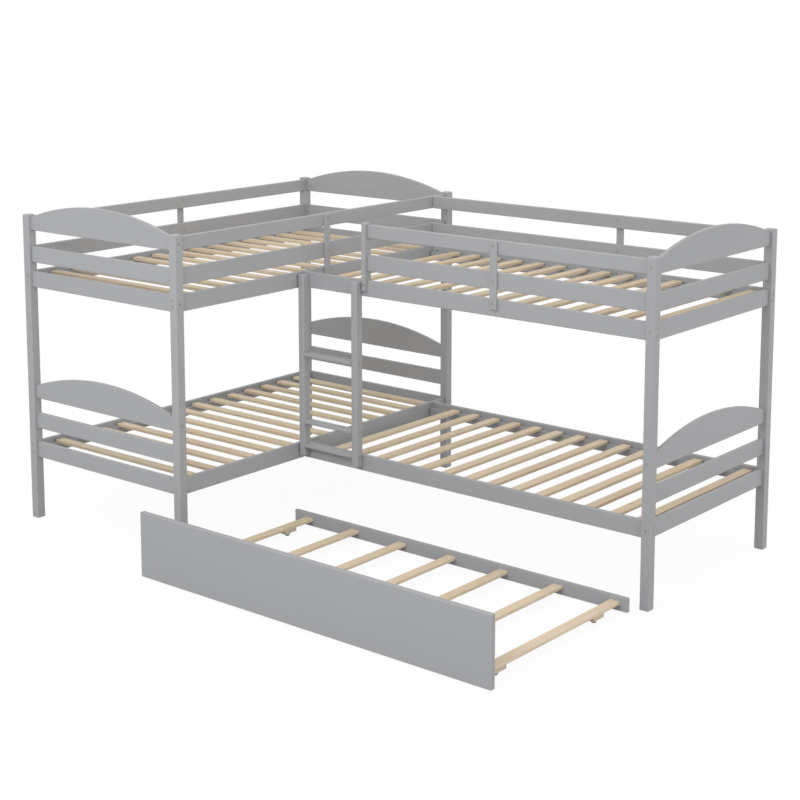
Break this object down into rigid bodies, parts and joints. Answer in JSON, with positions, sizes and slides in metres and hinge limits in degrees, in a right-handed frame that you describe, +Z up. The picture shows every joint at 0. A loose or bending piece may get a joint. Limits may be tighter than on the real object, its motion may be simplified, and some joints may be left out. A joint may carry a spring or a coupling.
{
  "type": "l shaped bunk bed",
  "caption": "L-shaped double bunk bed in painted wood with arched end boards, slatted decks, guard rails, a ladder and a roll-out trundle on wheels.",
  "frame": {"origin": "on the floor, under the middle of the outline with the trundle drawn out", "axes": "+X along the right-hand bunk, +Y from the front to the back, +Z up"},
  "size_m": [3.018, 2.244, 1.5789],
  "materials": {
    "grey_paint": "satin grey paint over wood",
    "bunk_pine": "bare planed pine",
    "trundle_pine": "bare planed pine, paler",
    "dowel_wood": "bare beech",
    "brass_bolts": "satin",
    "zinc_steel": "zinc plated",
    "black_plastic": "matt"
  },
  "bodies": {
    "bed_frame": {"front_left_post": "grey_paint", "front_inner_post": "grey_paint", "back_left_post": "grey_paint", "back_corner_post": "grey_paint", "right_front_post": "grey_paint", "right_back_post": "grey_paint", "front_arched_boards": "grey_paint", "back_arched_boards": "grey_paint", "right_arched_boards": "grey_paint", "front_mid_boards": "grey_paint", "back_mid_boards": "grey_paint", "right_mid_boards": "grey_paint", "front_end_rails": "grey_paint", "back_end_rails": "grey_paint", "right_end_rails": "grey_paint", "left_outer_lower_rail": "grey_paint", "left_outer_upper_rail": "grey_paint", "left_inner_lower_rail": "grey_paint", "left_inner_upper_rail": "grey_paint", "right_front_lower_rail": "grey_paint", "right_front_upper_rail": "grey_paint", "right_back_lower_rail": "grey_paint", "right_back_upper_rail": "grey_paint", "left_outer_guard_rails": "grey_paint", "left_inner_guard_rails": "grey_paint", "right_front_guard_rails": "grey_paint", "right_back_guard_rails": "grey_paint", "left_outer_stile": "grey_paint", "left_inner_stile": "grey_paint", "right_front_stile": "grey_paint", "right_back_stile": "grey_paint", "ladder_side_end_stile": "grey_paint", "ladder_left_upright": "grey_paint", "ladder_right_upright": "grey_paint", "ladder_treads": "grey_paint", "left_bunk_ledgers": "grey_paint", "right_bunk_ledgers": "grey_paint", "left_lower_slats": "bunk_pine", "left_upper_slats": "bunk_pine", "right_lower_slats": "bunk_pine", "right_upper_slats": "bunk_pine", "frame_bolts": "brass_bolts", "ladder_bolts": "brass_bolts", "guard_connector_bolts": "brass_bolts", "barrel_nuts": "zinc_steel", "slat_screws": "zinc_steel", "ledger_screws": "zinc_steel", "board_dowels": "dowel_wood"},
    "trundle": {"trundle_front_panel": "grey_paint", "trundle_rear_rail": "grey_paint", "trundle_slats": "trundle_pine", "caster_blocks": "trundle_pine", "trundle_dowels": "dowel_wood", "caster_brackets": "zinc_steel", "caster_axles": "zinc_steel", "caster_screws": "zinc_steel"},
    "front_left_wheel_body": {"front_left_wheel": "black_plastic"},
    "front_right_wheel_body": {"front_right_wheel": "black_plastic"},
    "rear_left_wheel_body": {"rear_left_wheel": "black_plastic"},
    "rear_right_wheel_body": {"rear_right_wheel": "black_plastic"}
  },
  "joints": [
    {"name": "trundle_roll", "type": "slide", "parent": "bed_frame", "child": "trundle", "axis": [0, 1, 0], "range_m": [0, 1.045]},
    {"name": "front_left_wheel_spin", "type": "hinge", "parent": "trundle", "child": "front_left_wheel_body", "pos_m": [-0.337, -0.976, 0.016], "axis": [1, 0, 0], "continuous": true},
    {"name": "front_right_wheel_spin", "type": "hinge", "parent": "trundle", "child": "front_right_wheel_body", "pos_m": [1.397, -0.976, 0.016], "axis": [1, 0, 0], "continuous": true},
    {"name": "rear_left_wheel_spin", "type": "hinge", "parent": "trundle", "child": "rear_left_wheel_body", "pos_m": [-0.337, -0.291, 0.016], "axis": [1, 0, 0], "continuous": true},
    {"name": "rear_right_wheel_spin", "type": "hinge", "parent": "trundle", "child": "rear_right_wheel_body", "pos_m": [1.397, -0.291, 0.016], "axis": [1, 0, 0], "continuous": true}
  ],
  "couplings": [
    {"joint": "front_left_wheel_spin", "follows": "trundle_roll", "rad_per_m": -62.5},
    {"joint": "front_right_wheel_spin", "follows": "trundle_roll", "rad_per_m": -62.5},
    {"joint": "rear_left_wheel_spin", "follows": "trundle_roll", "rad_per_m": -62.5},
    {"joint": "rear_right_wheel_spin", "follows": "trundle_roll", "rad_per_m": -62.5}
  ]
}
